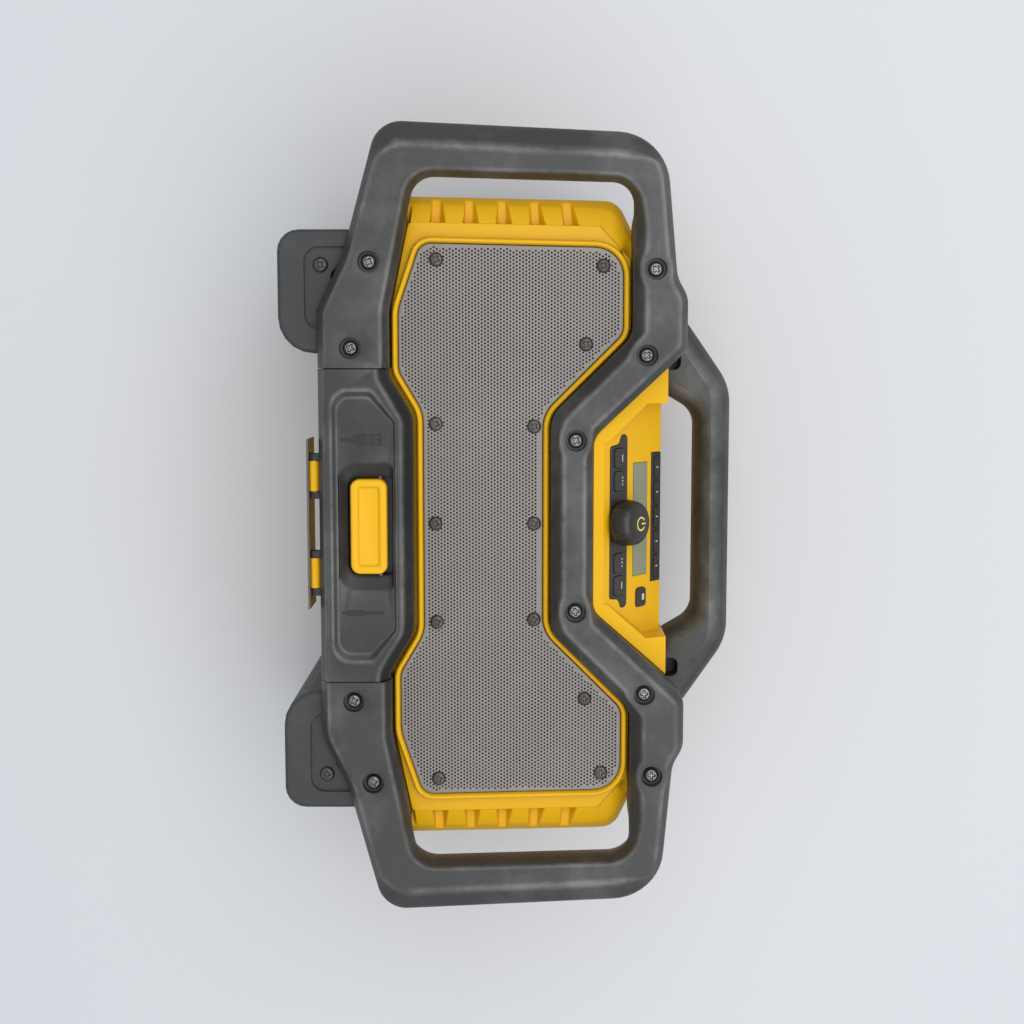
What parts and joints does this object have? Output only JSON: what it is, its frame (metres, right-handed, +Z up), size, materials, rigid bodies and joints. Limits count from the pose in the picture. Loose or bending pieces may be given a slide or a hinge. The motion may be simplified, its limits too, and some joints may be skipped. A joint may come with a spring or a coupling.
{
  "type": "bluetooth speaker",
  "caption": "Rugged bluetooth speaker: a yellow housing in a black roll cage, with a carry handle, sloped control panel, perforated grille and a latched front compartment door.",
  "frame": {"origin": "on the floor, at the middle of the bounding box's footprint", "axes": "+Z up when standing on its feet, the front with the grille faces -Y, +X to the viewer's right"},
  "size_m": [0.4448, 0.2, 0.262],
  "materials": {
    "yellow_plastic": "moulded, lightly textured",
    "black_plastic": "moulded, lightly textured, scuffed",
    "foot_rubber": "matte",
    "grille_metal": "perforated sheet, satin",
    "plain_steel": "bare",
    "screw_steel": "dark zinc",
    "key_plastic": "smooth",
    "knob_rubber": "soft touch",
    "display_glass": "clear window over a grey display",
    "board_green": "circuit board",
    "cone_black": "pressed",
    "basket_metal": "black",
    "magnet_iron": "ground",
    "sink_aluminium": "extruded",
    "terminal_brass": "bare"
  },
  "bodies": {
    "housing": {"front_housing": "yellow_plastic", "rear_housing": "yellow_plastic", "grille": "grille_metal", "speaker_baffle": "black_plastic", "front_frame": "black_plastic", "rear_bumper": "black_plastic", "carry_handle": "black_plastic", "foot_left": "foot_rubber", "foot_right": "foot_rubber", "door_gasket": "foot_rubber", "hinge_leaf": "plain_steel", "hinge_pins": "plain_steel", "compartment_box": "black_plastic", "usb_socket": "plain_steel", "aux_socket": "black_plastic", "control_panel": "yellow_plastic", "lower_key_strip": "key_plastic", "preset_strip": "key_plastic", "lcd_lens": "display_glass", "lcd_module": "plain_steel", "encoder_body": "plain_steel", "key_board": "board_green", "woofer_basket_left": "basket_metal", "woofer_basket_right": "basket_metal", "woofer_magnet_left": "magnet_iron", "woofer_magnet_right": "magnet_iron", "woofer_cone_left": "cone_black", "woofer_cone_right": "cone_black", "woofer_surround_left": "foot_rubber", "woofer_surround_right": "foot_rubber", "main_board": "board_green", "heat_sink": "sink_aluminium", "battery_bay": "black_plastic", "battery_terminals": "terminal_brass", "power_inlet": "black_plastic", "frame_screws": "screw_steel", "grille_screws": "screw_steel", "foot_screws": "screw_steel", "bumper_screws": "screw_steel", "woofer_screws": "screw_steel"},
    "door": {"door": "black_plastic", "latch_pin": "plain_steel"},
    "latch": {"latch": "yellow_plastic", "latch_spring": "plain_steel"},
    "knob_plunger": {"encoder_shaft": "plain_steel"},
    "volume_knob": {"volume_knob": "knob_rubber"},
    "mute_key": {"mute_key": "key_plastic"},
    "seek_back_key": {"seek_back_key": "key_plastic"},
    "seek_forward_key": {"seek_forward_key": "key_plastic"},
    "mode_key": {"mode_key": "key_plastic"},
    "preset_1_key": {"preset_key_1": "key_plastic"},
    "preset_2_key": {"preset_key_2": "key_plastic"},
    "preset_3_key": {"preset_key_3": "key_plastic"},
    "preset_4_key": {"preset_key_4": "key_plastic"},
    "preset_5_key": {"preset_key_5": "key_plastic"},
    "pair_key": {"pair_key": "key_plastic"}
  },
  "joints": [
    {"name": "door_hinge", "type": "hinge", "parent": "housing", "child": "door", "pos_m": [0, -0.086, 0.0195], "axis": [1, 0, 0], "range_deg": [0, 90]},
    {"name": "latch_pull", "type": "hinge", "parent": "door", "child": "latch", "pos_m": [0, -0.093, 0.057], "axis": [-1, 0, 0], "range_deg": [0, 35], "stiffness_Nm_per_rad": 0.02},
    {"name": "knob_press", "type": "slide", "parent": "housing", "child": "knob_plunger", "axis": [0, 0.6293, -0.7771], "range_m": [0, 0.001], "stiffness_N_per_m": 400},
    {"name": "knob_turn", "type": "hinge", "parent": "knob_plunger", "child": "volume_knob", "pos_m": [0, -0.07445, 0.19152], "axis": [0, -0.6293, 0.7771], "continuous": true},
    {"name": "mute_press", "type": "slide", "parent": "housing", "child": "mute_key", "axis": [0, 0.6293, -0.7771], "range_m": [0, 0.0008], "stiffness_N_per_m": 300},
    {"name": "seek_back_press", "type": "slide", "parent": "housing", "child": "seek_back_key", "axis": [0, 0.6293, -0.7771], "range_m": [0, 0.0008], "stiffness_N_per_m": 300},
    {"name": "seek_forward_press", "type": "slide", "parent": "housing", "child": "seek_forward_key", "axis": [0, 0.6293, -0.7771], "range_m": [0, 0.0008], "stiffness_N_per_m": 300},
    {"name": "mode_press", "type": "slide", "parent": "housing", "child": "mode_key", "axis": [0, 0.6293, -0.7771], "range_m": [0, 0.0008], "stiffness_N_per_m": 300},
    {"name": "preset_1_press", "type": "slide", "parent": "housing", "child": "preset_1_key", "axis": [0, 0.6293, -0.7771], "range_m": [0, 0.0008], "stiffness_N_per_m": 300},
    {"name": "preset_2_press", "type": "slide", "parent": "housing", "child": "preset_2_key", "axis": [0, 0.6293, -0.7771], "range_m": [0, 0.0008], "stiffness_N_per_m": 300},
    {"name": "preset_3_press", "type": "slide", "parent": "housing", "child": "preset_3_key", "axis": [0, 0.6293, -0.7771], "range_m": [0, 0.0008], "stiffness_N_per_m": 300},
    {"name": "preset_4_press", "type": "slide", "parent": "housing", "child": "preset_4_key", "axis": [0, 0.6293, -0.7771], "range_m": [0, 0.0008], "stiffness_N_per_m": 300},
    {"name": "preset_5_press", "type": "slide", "parent": "housing", "child": "preset_5_key", "axis": [0, 0.6293, -0.7771], "range_m": [0, 0.0008], "stiffness_N_per_m": 300},
    {"name": "pair_press", "type": "slide", "parent": "housing", "child": "pair_key", "axis": [0, 0.6293, -0.7771], "range_m": [0, 0.0008], "stiffness_N_per_m": 300}
  ]
}
